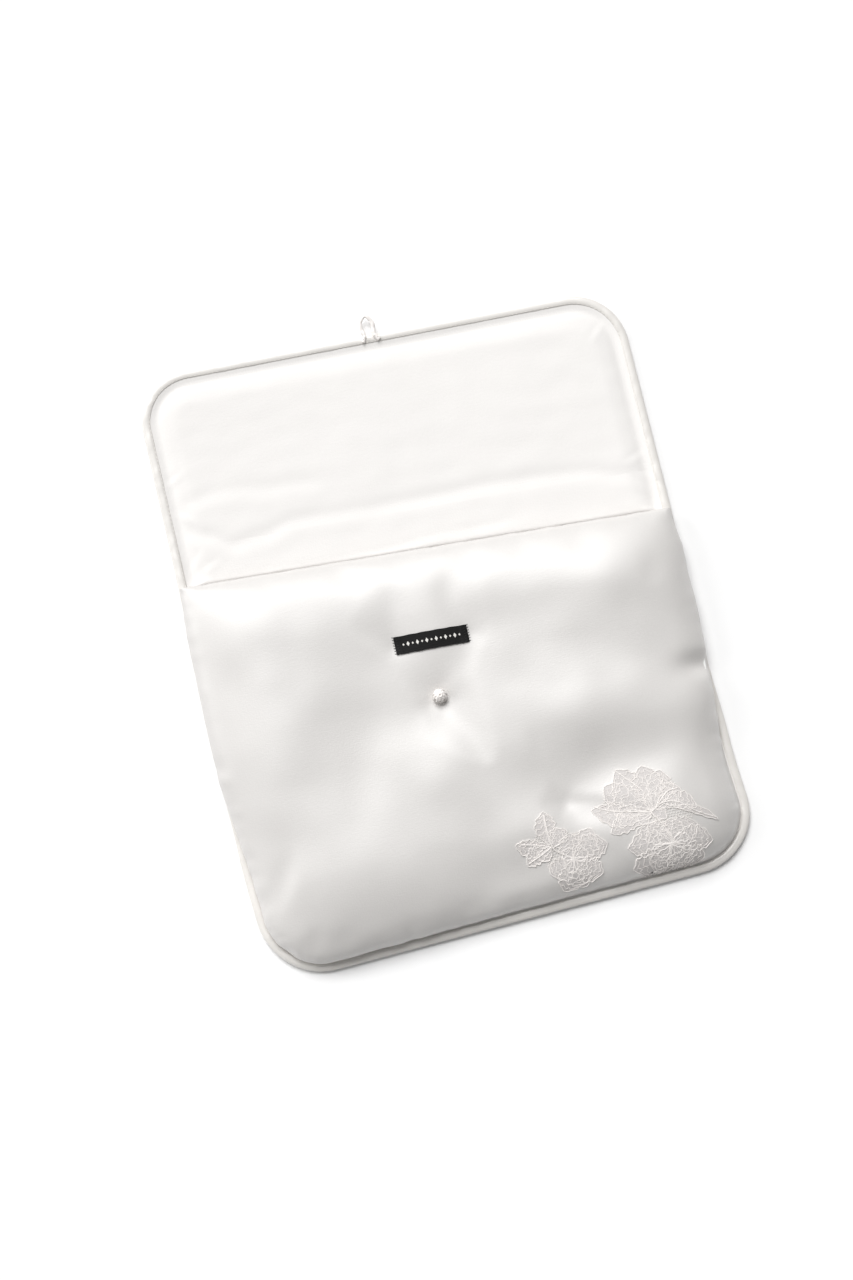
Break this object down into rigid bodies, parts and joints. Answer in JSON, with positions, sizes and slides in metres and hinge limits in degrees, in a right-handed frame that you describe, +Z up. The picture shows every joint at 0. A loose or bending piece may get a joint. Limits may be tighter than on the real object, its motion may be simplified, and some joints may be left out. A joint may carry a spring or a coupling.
{
  "type": "padded envelope pouch",
  "caption": "Padded ivory satin envelope pouch laid open: bound pocket, fold-over flap with corded loop, knot button, woven label and corded lace appliques.",
  "frame": {"origin": "middle of the open pouch's footprint, on the surface it lies on", "axes": "+Y from the pocket's bottom edge to the flap's free edge, +Z up from the resting surface, +X across the pouch to the right"},
  "size_m": [0.33, 0.414, 0.0313],
  "materials": {
    "outer_satin": "glossy duchess satin, soft sheen",
    "lining_satin": "warm white satin, softer sheen",
    "binding_satin": "bias-cut satin tape",
    "wadding": "lofty polyester wadding",
    "white_thread": "twisted sewing thread",
    "white_cord": "satin-covered narrow cord",
    "black_ribbon": "matte woven ribbon",
    "black_thread": "twisted sewing thread",
    "corded_lace": "pinkish ivory corded lace"
  },
  "bodies": {
    "pocket": {"back_outer": "outer_satin", "back_wadding": "wadding", "back_lining": "lining_satin", "front_lining": "lining_satin", "front_wadding": "wadding", "front_outer": "outer_satin", "pocket_binding": "binding_satin", "pocket_topstitch": "white_thread", "mouth_seam_thread": "white_thread", "woven_label": "black_ribbon", "label_stitch_left": "black_thread", "label_stitch_right": "black_thread", "knot_button": "white_cord", "button_shank": "white_thread", "lace_spray_large": "corded_lace", "lace_spray_small": "corded_lace"},
    "spine": {"spine_outer": "outer_satin", "spine_wadding": "wadding", "spine_lining": "lining_satin", "spine_binding_left": "binding_satin", "spine_binding_right": "binding_satin", "spine_topstitch_left": "white_thread", "spine_topstitch_right": "white_thread"},
    "flap": {"flap_outer": "outer_satin", "flap_wadding": "wadding", "flap_lining": "lining_satin", "flap_binding": "binding_satin", "flap_topstitch": "white_thread", "loop_leg_left": "white_cord", "loop_leg_right": "white_cord", "loop_tack": "white_thread"},
    "loop": {"button_loop": "white_cord"}
  },
  "joints": [
    {"name": "spine_fold", "type": "hinge", "parent": "pocket", "child": "spine", "pos_m": [0, 0.057, 0.0046], "axis": [1, 0, 0], "range_deg": [0, 90]},
    {"name": "flap_fold", "type": "hinge", "parent": "spine", "child": "flap", "pos_m": [0, 0.086, 0.0046], "axis": [1, 0, 0], "range_deg": [0, 90]},
    {"name": "loop_swing", "type": "hinge", "parent": "flap", "child": "loop", "pos_m": [-0.01, 0.193, 0.0041], "axis": [1, 0, 0], "range_deg": [0, 12]}
  ],
  "couplings": [
    {"joint": "flap_fold", "follows": "spine_fold", "ratio": 1}
  ]
}
